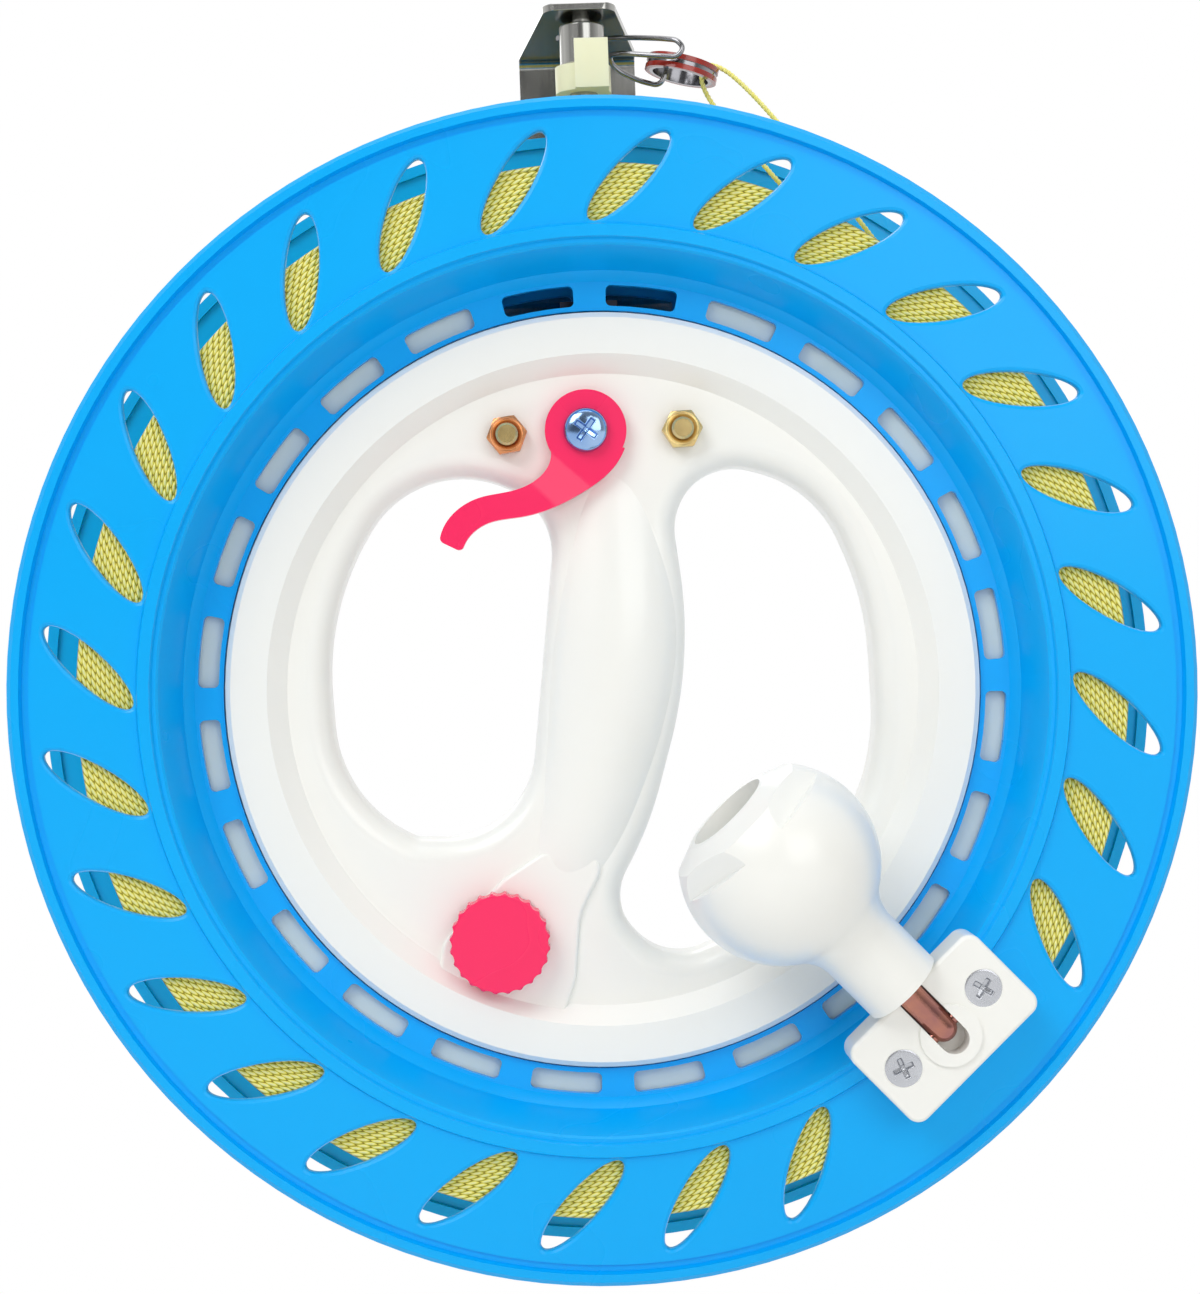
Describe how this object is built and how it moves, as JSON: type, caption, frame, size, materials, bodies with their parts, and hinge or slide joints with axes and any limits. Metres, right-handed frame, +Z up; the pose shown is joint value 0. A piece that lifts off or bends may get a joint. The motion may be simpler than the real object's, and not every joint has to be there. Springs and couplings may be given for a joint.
{
  "type": "kite line winder",
  "caption": "Hand-held kite line winder: spool wheel full of line that turns round a gripped hub, with folding crank, stop lever, brake knob and line guide.",
  "frame": {"origin": "on the wheel's axis, half way through its width, in the middle of the hand grip", "axes": "+Z up towards the line guide, along the grip; +Y along the wheel's axis towards the rear, so the crank side faces -Y; +X to the right seen from the crank side"},
  "size_m": [0.26, 0.0879, 0.2842],
  "materials": {
    "wheel_blue": "semi-gloss moulded",
    "hub_white": "semi-gloss moulded",
    "signal_pink": "semi-gloss moulded",
    "nylon_grey": "translucent satin",
    "nylon_cream": "satin",
    "line_yellow": "twisted line",
    "stainless": "brushed sheet",
    "zinc_steel": "bright zinc",
    "gold_zinc": "yellow zinc",
    "shaft_steel": "copper-toned zinc",
    "spring_steel": "polished wire",
    "ring_metal": "polished",
    "band_red": "gloss"
  },
  "bodies": {
    "hub": {"hub_front_shell": "hub_white", "hub_rear_shell": "hub_white", "hub_screws": "zinc_steel", "bearing_ring": "nylon_grey", "line_guide_bracket": "stainless", "bracket_bolts": "gold_zinc", "bracket_nuts": "gold_zinc", "bracket_washers": "zinc_steel", "guide_axle": "stainless", "guide_collar": "nylon_cream"},
    "wheel": {"wheel_front_half": "wheel_blue", "wheel_rear_half": "wheel_blue", "wheel_screws": "zinc_steel", "wound_line": "line_yellow", "crank_base": "hub_white", "crank_base_screws": "zinc_steel", "crank_pin": "shaft_steel"},
    "crank": {"crank_shaft": "shaft_steel", "knob_washer": "zinc_steel", "knob_screw": "zinc_steel"},
    "knob": {"crank_knob": "hub_white"},
    "lever": {"stop_lever": "signal_pink", "lever_screw": "zinc_steel", "lever_cam": "nylon_cream"},
    "pawl": {"stop_pawl": "shaft_steel"},
    "brake": {"brake_knob": "signal_pink", "brake_cam": "nylon_cream"},
    "shoe": {"brake_shoe": "nylon_cream"},
    "roller": {"guide_roller": "stainless"},
    "snap": {"snap_clip": "spring_steel", "free_line": "line_yellow"},
    "ring": {"line_ring": "ring_metal", "ring_bands": "band_red"}
  },
  "joints": [
    {"name": "wheel_spin", "type": "hinge", "parent": "hub", "child": "wheel", "pos_m": [0, 0, 0], "axis": [0, 1, 0], "continuous": true},
    {"name": "crank_fold", "type": "hinge", "parent": "wheel", "child": "crank", "pos_m": [0.06957, -0.0338, -0.07487], "axis": [0.7325, 0, 0.6807], "range_deg": [0, 85]},
    {"name": "knob_spin", "type": "hinge", "parent": "crank", "child": "knob", "pos_m": [0.06957, -0.0338, -0.07487], "axis": [-0.6781, -0.0872, 0.7298], "continuous": true},
    {"name": "lever_turn", "type": "hinge", "parent": "hub", "child": "lever", "pos_m": [-0.002, -0.0088, 0.058], "axis": [0, 1, 0], "range_deg": [0, 25]},
    {"name": "pawl_slide", "type": "slide", "parent": "hub", "child": "pawl", "axis": [0, 0, 1], "range_m": [0, 0.0032]},
    {"name": "brake_turn", "type": "hinge", "parent": "hub", "child": "brake", "pos_m": [-0.02521, -0.0099, -0.05533], "axis": [0, 1, 0], "range_deg": [0, 270]},
    {"name": "shoe_slide", "type": "slide", "parent": "hub", "child": "shoe", "axis": [-0.4147, 0, -0.91], "range_m": [0, 0.0006]},
    {"name": "roller_spin", "type": "hinge", "parent": "hub", "child": "roller", "pos_m": [0.0006, -0.001, 0.1455], "axis": [0, 0, 1], "continuous": true},
    {"name": "snap_swing", "type": "hinge", "parent": "hub", "child": "snap", "pos_m": [0.0006, -0.001, 0.1487], "axis": [0, 0, 1], "range_deg": [-8, 8]},
    {"name": "ring_turn", "type": "hinge", "parent": "snap", "child": "ring", "pos_m": [0.0234, 0.0035, 0.1409], "axis": [0.2588, 0, 0.9659], "continuous": true}
  ],
  "couplings": [
    {"joint": "pawl_slide", "follows": "lever_turn", "m_per_rad": 0.007334},
    {"joint": "shoe_slide", "follows": "brake_turn", "m_per_rad": 0.0001273}
  ]
}
